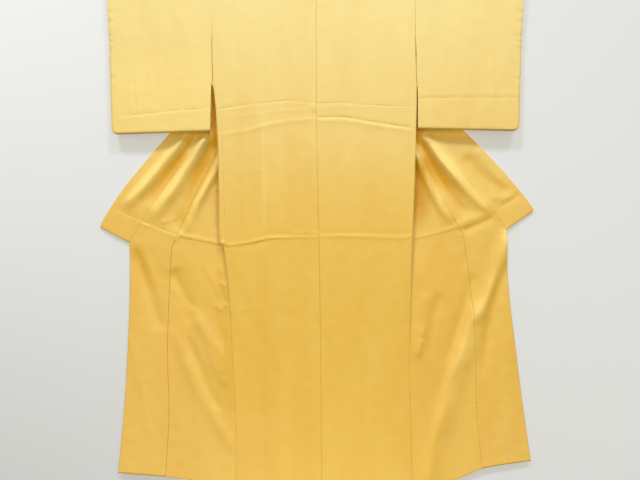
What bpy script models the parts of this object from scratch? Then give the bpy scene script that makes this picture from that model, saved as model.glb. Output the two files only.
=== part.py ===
"""A silk kimono hung by its back on a rod, with its fronts spread open to both sides.

The back of the garment faces -Y and the wall is on +Y. The origin is the inside top of the
hook, where a nail or peg carries it. A height on the garment is given as its drop, which is
the distance below the shoulder line, and a place across it as its distance out from the
middle. Left is the side at -X.
"""
import math
from collections import namedtuple

import bmesh
import bpy
from mathutils import Vector

for old in list(bpy.data.objects):
    bpy.data.objects.remove(old, do_unlink=True)

# Driving sizes of the garment, in metres
BODY_WALL = 0.002
COLLAR_WALL = 0.0015
SEAM_GAP = 0.0003
GARMENT_LENGTH = 1.63
FRONT_WIDTH = 0.245
NECK_HALF_WIDTH = 0.085
NECK_DROP = 0.025
NECK_CORNER_DROP = 0.019
SLEEVE_SEAM_DROP = 0.215
SIDE_SEAM_DROP = 0.335
WRIST_DROP = 0.23
SLEEVE_REACH = 0.628
SLEEVE_CORNER = 0.020
SLEEVE_FOLD = 0.008
OKUMI_TIP_DROP = 0.220
COLLAR_FULL_WIDTH = 0.110
COLLAR_NECK_WIDTH = 0.055
COLLAR_LAYER_GAP = 0.0035
COLLAR_LAP = 0.0095

# Driving sizes of the rod and hook
ROD_RADIUS = 0.010
ROD_HALF_LENGTH = 0.655
HOOK_WIRE_RADIUS = 0.0025
HOOK_LOOP_RADIUS = 0.022
HOOK_RISE = 0.100

# The cloth lies over the rod in flats, and the shoulder line is the top of its middle layer
WRAP_STEPS = 8
CLOTH_ROUND_ROD = (ROD_RADIUS + SEAM_GAP + BODY_WALL / 2) / math.cos(math.pi / 2 / WRAP_STEPS)
COLLAR_ROUND_ROD = CLOTH_ROUND_ROD + 0.0036
SHOULDER_Z = -HOOK_RISE
ROD_DROP = CLOTH_ROUND_ROD

# One row for each height: how far out the side edge, the gore seam and the gore's front edge
# lie. Above the collar's lower corner the front edge is the collar seam, and above the gore's
# tip the gore seam is the collar seam.
Line = namedtuple("Line", "drop side gore_seam front_edge")

LEFT_LINES = (
    Line(0.000, 0.310, 0.085, 0.088),
    Line(0.220, 0.314, 0.145, 0.148),
    Line(0.335, 0.314, 0.200, 0.236),
    Line(0.430, 0.298, 0.248, 0.304),
    Line(0.530, 0.287, 0.302, 0.382),
    Line(0.680, 0.286, 0.381, 0.496),
    Line(0.832, 0.287, 0.450, 0.590),
    Line(0.850, 0.287, 0.456, 0.591),
    Line(1.000, 0.284, 0.468, 0.594),
    Line(1.200, 0.267, 0.477, 0.606),
    Line(1.400, 0.259, 0.476, 0.622),
    Line(1.630, 0.258, 0.492, 0.648),
)

RIGHT_LINES = (
    Line(0.000, 0.302, 0.085, 0.088),
    Line(0.220, 0.304, 0.137, 0.140),
    Line(0.335, 0.308, 0.201, 0.232),
    Line(0.430, 0.307, 0.255, 0.309),
    Line(0.530, 0.305, 0.314, 0.393),
    Line(0.680, 0.304, 0.396, 0.518),
    Line(0.790, 0.303, 0.457, 0.603),
    Line(0.810, 0.303, 0.468, 0.604),
    Line(1.000, 0.301, 0.497, 0.618),
    Line(1.200, 0.299, 0.515, 0.643),
    Line(1.400, 0.304, 0.522, 0.670),
    Line(1.630, 0.313, 0.545, 0.704),
)

# The centre back seam leans a little to the right on its way down
CentreRow = namedtuple("CentreRow", "drop across")

CENTRE_LINE = (
    CentreRow(0.000, 0.002),
    CentreRow(0.480, 0.004),
    CentreRow(1.000, 0.014),
    CentreRow(1.630, 0.020),
)

# The hem rises towards both front edges
HemRow = namedtuple("HemRow", "across drop")

HEM_LINE = (
    HemRow(-0.660, 1.590),
    HemRow(-0.490, 1.602),
    HemRow(-0.260, 1.622),
    HemRow(0.020, 1.630),
    HemRow(0.313, 1.625),
    HemRow(0.460, 1.606),
    HemRow(0.545, 1.574),
    HemRow(0.710, 1.548),
)

# Folds of the spread fronts: each runs from its top to its bottom, and stands off the cloth
# towards the back's viewer where its height is positive, or towards the wall where negative
Fold = namedtuple("Fold", "out_top drop_top out_bottom drop_bottom height width")

LEFT_FOLDS = (
    Fold(0.408, 0.49, 0.630, 0.745, 0.006, 0.022),
    Fold(0.357, 0.51, 0.520, 0.745, 0.005, 0.018),
    Fold(0.378, 0.50, 0.575, 0.745, -0.005, 0.018),
    Fold(0.325, 0.53, 0.475, 0.775, -0.005, 0.020),
    Fold(0.575, 0.86, 0.500, 1.110, -0.006, 0.028),
    Fold(0.450, 0.92, 0.385, 1.080, -0.005, 0.028),
)

RIGHT_FOLDS = (
    Fold(0.354, 0.48, 0.500, 0.680, 0.006, 0.022),
    Fold(0.325, 0.50, 0.530, 0.745, -0.005, 0.020),
    Fold(0.485, 0.57, 0.600, 0.690, -0.005, 0.018),
    Fold(0.585, 0.84, 0.465, 1.200, 0.008, 0.030),
    Fold(0.465, 1.20, 0.360, 1.600, 0.007, 0.032),
    Fold(0.600, 0.88, 0.560, 1.150, -0.006, 0.022),
    Fold(0.348, 1.00, 0.332, 1.200, 0.004, 0.024),
)

SideSizes = "name sign lines folds collar_end_drop sleeve_inner_hem sleeve_outer_hem sleeve_lean"
Side = namedtuple("Side", SideSizes)

LEFT = Side("left", -1, LEFT_LINES, LEFT_FOLDS, 0.832, 0.481, 0.491, 0.007)
RIGHT = Side("right", 1, RIGHT_LINES, RIGHT_FOLDS, 0.790, 0.474, 0.480, 0.007)
SIDES = (LEFT, RIGHT)


def ease(value):
    """A smooth step from 0 to 1."""
    value = min(max(value, 0.0), 1.0)
    return value * value * (3 - 2 * value)


def follow(rows, at, key, column):
    """The value of a table's column at a place, on a smooth curve through its rows."""
    places = [getattr(row, key) for row in rows]
    values = [getattr(row, column) for row in rows]
    if at <= places[0]:
        return values[0]
    if at >= places[-1]:
        return values[-1]
    last = len(rows) - 1
    i = max(index for index in range(last) if places[index] <= at)

    def slope(index):
        before = max(index - 1, 0)
        after = min(index + 1, last)
        return (values[after] - values[before]) / (places[after] - places[before])

    step = places[i + 1] - places[i]
    t = (at - places[i]) / step
    rise = values[i + 1] - values[i]
    start = slope(i) * step
    end = slope(i + 1) * step
    return values[i] + t * (start + t * (3 * rise - 2 * start - end + t * (start + end - 2 * rise)))


def line(side, drop, column):
    return follow(side.lines, drop, "drop", column)


def place(x, y, drop):
    return Vector((x, y, SHOULDER_Z - drop))


def hang(x, y, drop):
    """A point of the body's cloth, its drop drawn in so that the hem follows its line."""
    start = 0.9
    if drop > start:
        hem = follow(HEM_LINE, x, "across", "drop")
        drop += (hem - GARMENT_LENGTH) * (drop - start) / (GARMENT_LENGTH - start)
    return place(x, y, drop)


def back_depth(drop):
    """How far the back and the sleeves hang out from the rod's axis."""
    return CLOTH_ROUND_ROD + 0.0016 * ease(drop / 0.2)


def fold_height(side, out, drop):
    """How far the hand-placed folds lift the cloth at a point."""
    total = 0.0
    for fold in side.folds:
        along = Vector((fold.out_bottom - fold.out_top, fold.drop_bottom - fold.drop_top))
        offset = Vector((out - fold.out_top, drop - fold.drop_top))
        run = offset.dot(along) / along.length_squared
        aside = (offset - along * min(max(run, 0.0), 1.0)).length
        taper = ease((run + 0.15) / 0.3) * ease((1.15 - run) / 0.3)
        total += fold.height * taper * math.exp(-(aside / fold.width) ** 2)
    return total


def material(name, colour, roughness, metallic=0.0):
    new = bpy.data.materials.new(name)
    new.use_nodes = True
    shader = new.node_tree.nodes["Principled BSDF"]
    shader.inputs["Base Color"].default_value = (*colour, 1.0)
    shader.inputs["Roughness"].default_value = roughness
    shader.inputs["Metallic"].default_value = metallic
    return new


SILK = material("yellow_silk", (0.90, 0.58, 0.17), 0.45)
WOOD = material("pale_wood", (0.55, 0.40, 0.24), 0.55)
STEEL = material("plain_steel", (0.62, 0.62, 0.62), 0.30, 1.0)

parts = bpy.data.collections.new("kimono_on_rod")
bpy.context.scene.collection.children.link(parts)


def add_object(name, mesh, finish):
    new = bpy.data.objects.new(name, mesh)
    parts.objects.link(new)
    mesh.materials.append(finish)
    return new


def cloth(name, rows, thickness, closed=False):
    """A wall of cloth through rows of points. A row may have None where cloth is cut away."""
    sheet = bmesh.new()
    verts = [[point and sheet.verts.new(point) for point in row] for row in rows]
    for upper, lower in zip(verts, verts[1:]):
        steps = len(upper) if closed else len(upper) - 1
        for i in range(steps):
            j = (i + 1) % len(upper)
            corners = [upper[i], upper[j], lower[j], lower[i]]
            if all(corners):
                sheet.faces.new(corners)
    bmesh.ops.remove_doubles(sheet, verts=sheet.verts, dist=0.00005)
    bmesh.ops.recalc_face_normals(sheet, faces=sheet.faces)
    mesh = bpy.data.meshes.new(name)
    sheet.to_mesh(mesh)
    sheet.free()
    mesh.shade_smooth()
    piece = add_object(name, mesh, SILK)
    wall = piece.modifiers.new("wall", "SOLIDIFY")
    wall.thickness = thickness
    wall.offset = 0.0
    wall.use_even_offset = True
    return piece


# Body: each half is one length of cloth over the rod

TURN_STEPS = 4
UNDER_STEPS = 3
OUTER_STEPS = 7
BODY_STEPS = TURN_STEPS + UNDER_STEPS + OUTER_STEPS
NECK_STEPS = 3

BACK_DROPS = (1.63, 1.50, 1.34, 1.18, 1.05, 0.93, 0.83, 0.72, 0.62, 0.53, 0.45, 0.39, 0.335,
              0.275, 0.215, 0.12, NECK_DROP)
UPPER_FRONT_DROPS = (0.03, 0.06, 0.09, 0.12, 0.16, OKUMI_TIP_DROP, 0.275, 0.335, 0.39, 0.44, 0.49,
                     0.54, 0.59, 0.64, 0.69, 0.74)
LOWER_FRONT_DROPS = (0.88, 0.95, 1.02, 1.09, 1.16, 1.24, 1.32, 1.42, 1.52, 1.63)


def front_drops(side):
    return (*UPPER_FRONT_DROPS, side.collar_end_drop, *LOWER_FRONT_DROPS)


def gore_seam_depth(drop):
    """How far towards the wall the front lies at its gore seam."""
    settled = 0.0225 - 0.006 * ease((drop - 0.85) / 0.5)
    return CLOTH_ROUND_ROD + (settled - CLOTH_ROUND_ROD) * ease(drop / 0.15)


def side_edge_depth(drop):
    """The front's side edge: out at the sleeve seam, then in to the back at the side seam."""
    sewn_to_sleeve = back_depth(drop)
    sewn_to_back = -back_depth(drop) + BODY_WALL + 0.0005
    joined = ease((drop - SLEEVE_SEAM_DROP) / (SIDE_SEAM_DROP - SLEEVE_SEAM_DROP))
    return sewn_to_sleeve + (sewn_to_back - sewn_to_sleeve) * joined


def front_point(side, drop, step):
    """The front goes in from its side edge behind the back, turns, and comes out again."""
    edge = line(side, drop, "side") - SEAM_GAP / 2
    seam = line(side, drop, "gore_seam")
    edge_y = side_edge_depth(drop)
    seam_y = gore_seam_depth(drop)
    turn_out = min(edge - (FRONT_WIDTH - (seam - edge)) / 2, edge - 0.008)
    lower = ease((drop - 0.6) / 0.6)
    radius = 0.006 - 0.0015 * lower
    middle_y = 0.0115 - 0.0115 * lower
    centre = turn_out + radius
    straight = step / BODY_STEPS
    flat_out = edge + (seam - edge) * straight
    flat_y = edge_y + (seam_y - edge_y) * straight
    if step < UNDER_STEPS:
        t = step / UNDER_STEPS
        out = edge + (centre - edge) * t
        y = edge_y + (middle_y - radius - edge_y) * t
    elif step <= UNDER_STEPS + TURN_STEPS:
        angle = math.pi * (step - UNDER_STEPS) / TURN_STEPS
        out = centre - radius * math.sin(angle)
        y = middle_y - radius * math.cos(angle)
    else:
        t = (step - UNDER_STEPS - TURN_STEPS) / OUTER_STEPS
        out = centre + (seam - centre) * t
        y = middle_y + radius + (seam_y - middle_y - radius) * ease(t)
        y -= fold_height(side, out, drop) * ease(t * 3)
    opened = ease(drop / 0.15)
    out = flat_out + (out - flat_out) * opened
    y = flat_y + (y - flat_y) * opened
    return hang(side.sign * out, y, drop)


def back_row(side, drop, with_neck):
    edge = line(side, drop, "side") - SEAM_GAP / 2
    y = -back_depth(drop)
    row = []
    for step in range(BODY_STEPS + 1):
        out = edge + (NECK_HALF_WIDTH - edge) * step / BODY_STEPS
        at_neck_corner = drop == NECK_DROP and step == BODY_STEPS
        row.append(hang(side.sign * out, y, NECK_CORNER_DROP if at_neck_corner else drop))
    middle = follow(CENTRE_LINE, drop, "drop", "across") + side.sign * SEAM_GAP / 2
    neck = side.sign * NECK_HALF_WIDTH
    for step in range(1, NECK_STEPS + 1):
        x = neck + (middle - neck) * step / NECK_STEPS
        row.append(hang(x, y, drop) if with_neck else None)
    return row


def over_rod_row(side, turn):
    """A row round the rod, turned from 0 at its back to a half turn at its front."""
    edge = line(side, 0.0, "side") - SEAM_GAP / 2
    y = -CLOTH_ROUND_ROD * math.cos(turn)
    drop = ROD_DROP - CLOTH_ROUND_ROD * math.sin(turn)
    row = []
    for step in range(BODY_STEPS + 1):
        out = edge + (NECK_HALF_WIDTH - edge) * step / BODY_STEPS
        row.append(place(side.sign * out, y, drop))
    return row + [None] * NECK_STEPS


for side in SIDES:
    rows = [back_row(side, drop, True) for drop in BACK_DROPS]
    rows += [over_rod_row(side, math.pi * step / WRAP_STEPS) for step in range(WRAP_STEPS + 1)]
    for drop in front_drops(side):
        row = [front_point(side, drop, step) for step in range(BODY_STEPS + 1)]
        rows.append(row + [None] * NECK_STEPS)
    cloth("body_" + side.name, rows, BODY_WALL)


# Front gores, from their pointed top to the hem

GORE_STEPS = 6


def front_edge_depth(drop):
    """The gore's front edge lies a little nearer the wall, where the collar's end is held."""
    return gore_seam_depth(drop) + 0.004 * ease((drop - OKUMI_TIP_DROP) / 0.35)


def gore_point(side, drop, t):
    seam = line(side, drop, "gore_seam") + 2 * SEAM_GAP
    edge = line(side, drop, "front_edge")
    out = seam + (edge - seam) * t
    y = gore_seam_depth(drop) + (front_edge_depth(drop) - gore_seam_depth(drop)) * t
    y -= fold_height(side, out, drop)
    return hang(side.sign * out, y, drop)


for side in SIDES:
    rows = []
    for drop in front_drops(side):
        if drop < OKUMI_TIP_DROP:
            continue
        rows.append([gore_point(side, drop, step / GORE_STEPS) for step in range(GORE_STEPS + 1)])
    cloth("okumi_" + side.name, rows, BODY_WALL)


# Sleeves: a folded length round the rod, closed at the outer edge below the wrist

SLEEVE_DROPS = (0.06, 0.12, 0.175, WRIST_DROP, 0.29, 0.36, 0.43)
SLEEVE_BOTTOM_TURNS = (0, 30, 60, 90)
SLEEVE_STATIONS = (0.0, 0.2, 0.4, 0.6, 0.8, 0.935, 0.975, 0.985, 0.993, 0.998, 1.0)


def sleeve_half_ring(side, across):
    """Points from the top of the sleeve down its wall side, at a share of the way outwards."""
    hem = side.sleeve_inner_hem + (side.sleeve_outer_hem - side.sleeve_inner_hem) * across
    ring = []
    for step in range(WRAP_STEPS // 2 + 1):
        turn = math.pi * step / WRAP_STEPS
        half = CLOTH_ROUND_ROD * math.sin(turn)
        ring.append((half, ROD_DROP - CLOTH_ROUND_ROD * math.cos(turn)))
    for drop in SLEEVE_DROPS:
        ring.append((back_depth(drop), drop))
    for degrees in SLEEVE_BOTTOM_TURNS:
        turn = math.radians(degrees)
        half = back_depth(hem) * math.cos(turn)
        ring.append((half, hem - SLEEVE_FOLD + SLEEVE_FOLD * math.sin(turn)))
    points = []
    for half, drop in ring:
        inner = line(side, min(drop, SIDE_SEAM_DROP), "side") + SEAM_GAP
        inner += side.sleeve_lean * ease((drop - SLEEVE_SEAM_DROP + 0.02) / 0.13)
        out = inner + (SLEEVE_REACH - inner) * across
        from_edge = SLEEVE_REACH - out
        shut = math.sqrt(max(1 - max(1 - from_edge / SLEEVE_FOLD, 0.0) ** 2, 0.0))
        closed = ease((drop - 0.10) / (WRIST_DROP - 0.10))
        half *= 1 - (1 - shut) * closed
        from_hem = hem - drop
        if from_edge < SLEEVE_CORNER and from_hem < SLEEVE_CORNER:
            u = 1 - from_edge / SLEEVE_CORNER
            v = 1 - max(from_hem, 0.0) / SLEEVE_CORNER
            out += SLEEVE_CORNER * (u * math.sqrt(1 - v * v / 2) - u)
            drop += SLEEVE_CORNER * (v * math.sqrt(1 - u * u / 2) - v)
        points.append((out, half, drop))
    return points


for side in SIDES:
    rows = []
    for across in SLEEVE_STATIONS:
        half_ring = sleeve_half_ring(side, across)
        row = [place(side.sign * out, half, drop) for out, half, drop in half_ring]
        for out, half, drop in reversed(half_ring[1:-1]):
            row.append(place(side.sign * out, -half, drop))
        rows.append(row)
    cloth("sleeve_" + side.name, rows, BODY_WALL, closed=True)


# Collar: one strip, folded in half at the neck and opened out towards its ends. A station
# gives the point on its seam, the direction from there to its folded edge, and its width.

Station = namedtuple("Station", "out y drop to_out to_y to_up width")

NECK_STATIONS = (
    Station(0.000, -COLLAR_ROUND_ROD, 0.0300, 0.00, 0.00, 1.00, COLLAR_NECK_WIDTH),
    Station(0.030, -COLLAR_ROUND_ROD, 0.0300, 0.00, 0.00, 1.00, COLLAR_NECK_WIDTH),
    Station(0.055, -COLLAR_ROUND_ROD, 0.0298, 0.00, 0.00, 1.00, COLLAR_NECK_WIDTH),
    Station(0.0720, -COLLAR_ROUND_ROD, 0.0285, 0.05, 0.00, 1.00, COLLAR_NECK_WIDTH),
    Station(0.0830, -0.0147, 0.0205, 0.12, 0.00, 0.99, COLLAR_NECK_WIDTH),
    Station(0.0888, -0.0122, 0.0040, 0.22, 0.00, 0.97, COLLAR_NECK_WIDTH),
    Station(0.0912, -0.0058, -0.0022, 0.32, 0.00, 0.95, COLLAR_NECK_WIDTH),
    Station(0.0925, 0.0035, -0.0028, 0.42, 0.02, 0.91, COLLAR_NECK_WIDTH),
    Station(0.0930, 0.0112, 0.0020, 0.50, 0.05, 0.86, COLLAR_NECK_WIDTH),
    Station(0.0930, 0.0152, 0.0140, 0.58, 0.08, 0.80, COLLAR_NECK_WIDTH),
)

LAYER_STEPS = 5


def collar_seam_point(side, drop):
    """The collar's seam edge, just clear of the front's edge or the gore's."""
    if drop < OKUMI_TIP_DROP:
        out = line(side, drop, "gore_seam")
        y = gore_seam_depth(drop)
    else:
        out = line(side, drop, "front_edge")
        y = front_edge_depth(drop) - fold_height(side, out, drop)
    lapped = 1 - ease((drop - 0.27) / 0.2)
    return Vector((out, y + lapped * (BODY_WALL + 0.0006), drop))


def collar_station(side, drop):
    point = collar_seam_point(side, drop)
    below = collar_seam_point(side, min(drop + 0.01, side.collar_end_drop))
    ahead = below - collar_seam_point(side, drop - 0.01)
    out_normal = Vector((ahead.z, -ahead.x)).normalized()
    standing = 1 - ease((drop - 0.01) / 0.10)
    to_out = out_normal.x * (1 - standing) + 0.62 * standing
    to_up = -out_normal.y * (1 - standing) + 0.78 * standing
    widened = ease((drop - 0.1) / 0.75) * 0.55 + ease((drop - 0.25) / 0.5) * 0.45
    width = COLLAR_NECK_WIDTH + (COLLAR_FULL_WIDTH - COLLAR_NECK_WIDTH) * widened
    gap = SEAM_GAP + 0.0002
    return Station(point.x + gap * to_out, point.y, point.z - gap * to_up,
                   to_out, 0.05 + 0.03 * standing, to_up, width)


def collar_row(side, station, tangent):
    """A section across the strip: its outer layer, its folded edge, and what is turned in."""
    seam = place(side.sign * station.out, station.y, station.drop)
    to_edge = Vector((side.sign * station.to_out, station.to_y, station.to_up)).normalized()
    inside = tangent.cross(to_edge).normalized() * -side.sign
    radius = COLLAR_LAYER_GAP / 2
    turned = max(COLLAR_FULL_WIDTH - station.width, 0.010)
    turned = min(turned, station.width - radius - COLLAR_LAP)
    flat = station.width - radius
    row = [seam + to_edge * flat * step / LAYER_STEPS for step in range(LAYER_STEPS + 1)]
    for degrees in (60, 120, 180):
        turn = math.radians(degrees)
        along = flat + radius * math.sin(turn)
        row.append(seam + to_edge * along + inside * (radius - radius * math.cos(turn)))
    for step in (1, 2):
        row.append(seam + to_edge * (flat - turned * step / 2) + inside * 2 * radius)
    seam_lift = fold_height(side, station.out, station.drop)
    for point in row:
        point.y -= fold_height(side, side.sign * point.x, SHOULDER_Z - point.z) - seam_lift
    return row


def collar_half(side):
    """Rows from the middle of the back to the end of one front."""
    stations = list(NECK_STATIONS)
    for drop in front_drops(side):
        if drop <= side.collar_end_drop:
            stations.append(collar_station(side, drop))
    places = [place(side.sign * s.out, s.y, s.drop) for s in stations]
    rows = []
    for index, station in enumerate(stations):
        before = places[max(index - 1, 0)]
        after = places[min(index + 1, len(places) - 1)]
        rows.append(collar_row(side, station, (after - before).normalized()))
    return rows


left_rows = collar_half(LEFT)
right_rows = collar_half(RIGHT)
cloth("collar", list(reversed(left_rows)) + right_rows[1:], COLLAR_WALL)


# Rod and hook, plain, with rounded rod ends, the hook's foot set on the rod's top

bpy.ops.mesh.primitive_cylinder_add(vertices=24, radius=ROD_RADIUS, depth=2 * ROD_HALF_LENGTH,
                                    location=place(0, 0, ROD_DROP), rotation=(0, math.pi / 2, 0))
rod = bpy.context.object
rod.name = "rod"
rod.data.materials.append(WOOD)
round_ends = rod.modifiers.new("round_ends", "BEVEL")
round_ends.width = 0.003
round_ends.segments = 2
round_ends.limit_method = "ANGLE"
rod.data.shade_smooth()
for holder in list(rod.users_collection):
    holder.objects.unlink(rod)
parts.objects.link(rod)

rod_top = SHOULDER_Z - ROD_DROP + ROD_RADIUS
loop_middle = -HOOK_LOOP_RADIUS + HOOK_WIRE_RADIUS
foot = rod_top + SEAM_GAP
points = [Vector((0, 0, foot)), Vector((0, 0, foot + 0.020)), Vector((0, 0, foot + 0.034))]
points.append(Vector((0.003, 0, loop_middle - 1.50 * HOOK_LOOP_RADIUS)))
points.append(Vector((0.010, 0, loop_middle - 1.10 * HOOK_LOOP_RADIUS)))
for degrees in range(-45, 226, 15):
    turn = math.radians(degrees)
    across = HOOK_LOOP_RADIUS * math.cos(turn)
    points.append(Vector((across, 0, loop_middle + HOOK_LOOP_RADIUS * math.sin(turn))))
wire = bpy.data.curves.new("hook", "CURVE")
wire.dimensions = "3D"
wire.bevel_depth = HOOK_WIRE_RADIUS
wire.bevel_resolution = 2
wire.use_fill_caps = True
run = wire.splines.new("POLY")
run.points.add(len(points) - 1)
for slot, point in zip(run.points, points):
    slot.co = (*point, 1)
hook = bpy.data.objects.new("hook", wire)
wire.materials.append(STEEL)
parts.objects.link(hook)
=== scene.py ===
import math

import bmesh
import bpy
import numpy as np
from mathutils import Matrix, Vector


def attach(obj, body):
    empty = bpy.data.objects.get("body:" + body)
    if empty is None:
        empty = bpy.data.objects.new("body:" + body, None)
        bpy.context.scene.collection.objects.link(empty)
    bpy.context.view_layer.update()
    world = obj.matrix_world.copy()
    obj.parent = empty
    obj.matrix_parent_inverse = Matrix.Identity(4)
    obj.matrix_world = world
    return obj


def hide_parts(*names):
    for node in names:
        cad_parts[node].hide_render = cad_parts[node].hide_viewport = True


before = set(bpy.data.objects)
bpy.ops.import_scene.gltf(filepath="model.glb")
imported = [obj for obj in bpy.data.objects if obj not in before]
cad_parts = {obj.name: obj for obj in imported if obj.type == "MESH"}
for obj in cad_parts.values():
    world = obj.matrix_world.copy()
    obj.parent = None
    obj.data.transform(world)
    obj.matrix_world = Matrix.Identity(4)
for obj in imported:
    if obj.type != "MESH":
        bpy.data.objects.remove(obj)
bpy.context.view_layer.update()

scene = bpy.context.scene

# The camera stands where the photograph was taken: a little above the garment's middle, two and
# a half metres from its back, and tilted a little down.

lens_data = bpy.data.cameras.new("camera")
lens_data.lens = 44.55
lens_data.sensor_width = 36.0
camera = bpy.data.objects.new("camera", lens_data)
camera.location = (0.014, -2.47, -0.629)
camera.rotation_euler = (math.radians(83.3), 0.0, 0.0)
scene.collection.objects.link(camera)
scene.camera = camera
scene.view_settings.view_transform = "Standard"

# Body halves: each is one length of yellow silk, from the back hem over the rod to the front
# hem. They meet at the centre back seam. The front half is sewn to the back half at the side,
# goes in behind it, turns, and comes out again as a fan.

SHOULDER_Z = -0.100
LENGTH = 1.63
FRONT_WIDTH = 0.245
BESIDE_NECK = 0.225
NECK_HALF_WIDTH = 0.085
NECK_DROP = 0.025
SLEEVE_SEAM_DROP = 0.215
SIDE_SEAM_DROP = 0.335
ROD_DROP = 0.0115
CLOTH_ROUND_ROD = 0.0114
CLOTH_THICK = 0.0009
MERGE_WITHIN = 0.00008
WRAP_STEPS = 14
ROW_GAP = 0.0058
BUSY_ROW_GAP = 0.0034

# Where the hem is turned up: the steps of its turn in degrees, and how far up its two rows lie
HEM_TURN = (45, 90, 135, 180)
HEM_UP = (0.006, 0.012)
HEM_ROWS = len(HEM_TURN) + len(HEM_UP)
HEM_ROLL = 0.0014

# How the front sits behind the back: under its edge, out past it, further out behind the slit's
# upper end, and with both set in where the side seam lies flush low down
FRONT_UNDER_EDGE = 0.0011
FRONT_PAST_EDGE = 0.0012
FRONT_IN_SLIT = 0.006
FLUSH_SET_IN = 0.0025

# A seam's edge is rolled in, and its allowance shows beside it as a faint step
SEAM_ROLL = 0.0013
SEAM_ROLL_WIDTH = 0.0034
SEAM_PUCKER_GAP = 0.024
SEAM_ALLOWANCE = 0.011

# How far in from the edge a seam's dark line starts: the further, the fainter, and gone at last
SEAM_DARK = 0.0003
SEAM_GAPING = 0.0006
SEAM_CLEAR = 0.0007
SEAM_SOFT = 0.0009
SEAM_FAINT = 0.0014
SEAM_GONE = 0.0018
NO_SEAM = 1.0
SLEEVE_SEAM_GAPES = 0.195
SIDE_SEAM_FLAT = 0.95
GORE_SEAM_LOW = 0.80

# How far out the side edge, the gore seam and the front edge lie at each drop below the shoulder
LEFT_LINES = {
    "drop": (0.000, 0.220, 0.320, 0.335, 0.390, 0.440, 0.530, 0.680, 0.828, 0.840, 0.852, 1.000,
             1.200, 1.400, 1.630),
    "side": (0.309, 0.314, 0.3133, 0.3118, 0.3066, 0.303, 0.300, 0.300, 0.300, 0.291, 0.286, 0.272,
             0.264, 0.257, 0.257),
    "gore": (0.085, 0.145, 0.193, 0.200, 0.228, 0.254, 0.302, 0.381, 0.448, 0.453, 0.457, 0.468,
             0.477, 0.476, 0.492),
    "edge": (0.088, 0.148, 0.2245, 0.236, 0.276, 0.312, 0.382, 0.496, 0.588, 0.5905, 0.591, 0.594,
             0.606, 0.622, 0.648),
}
RIGHT_LINES = {
    "drop": (0.000, 0.220, 0.335, 0.430, 0.530, 0.680, 0.790, 0.810, 1.000, 1.200, 1.400, 1.630),
    "side": (0.302, 0.304, 0.3085, 0.309, 0.308, 0.306, 0.3035, 0.303, 0.301, 0.299, 0.304, 0.313),
    "gore": (0.085, 0.137, 0.201, 0.255, 0.314, 0.396, 0.457, 0.468, 0.497, 0.515, 0.522, 0.545),
    "edge": (0.088, 0.140, 0.232, 0.309, 0.393, 0.518, 0.603, 0.604, 0.618, 0.643, 0.670, 0.704),
}
# Where the centre back seam lies at some drops, and how far down the hem hangs across the garment
CENTRE_SEAM = {"drop": (0.000, 0.480, 1.000, 1.630), "across": (0.002, 0.004, 0.014, 0.020)}
HEM = {
    "across": (-0.660, -0.490, -0.260, 0.020, 0.313, 0.460, 0.545, 0.710),
    "drop": (1.590, 1.602, 1.622, 1.630, 1.625, 1.606, 1.574, 1.548),
}
# What differs from side to side: its lines, where the collar ends and how much slimmer it is
# above that, how far the fan is set back, the line of its low gore seam, how far out the sleeve
# starts at each of the SLIT_DROPS, and the drop of the sleeve's hem at its two ends
SIDES = {
    "left": {"sign": -1, "lines": LEFT_LINES, "collar_end": 0.832, "collar_slim": 0.006,
             "set_back": 0.005, "low_gore_seam": SEAM_DARK,
             "slit": (0.3095, 0.3146, 0.3150, 0.3151, 0.3150, 0.3182, 0.3240),
             "sleeve_inner_hem": 0.481, "sleeve_outer_hem": 0.491},
    "right": {"sign": 1, "lines": RIGHT_LINES, "collar_end": 0.790, "collar_slim": 0.0,
              "set_back": 0.001, "low_gore_seam": SEAM_SOFT,
              "slit": (0.3024, 0.3046, 0.3068, 0.3074, 0.3094, 0.3122, 0.3155),
              "sleeve_inner_hem": 0.474, "sleeve_outer_hem": 0.480},
}

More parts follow.
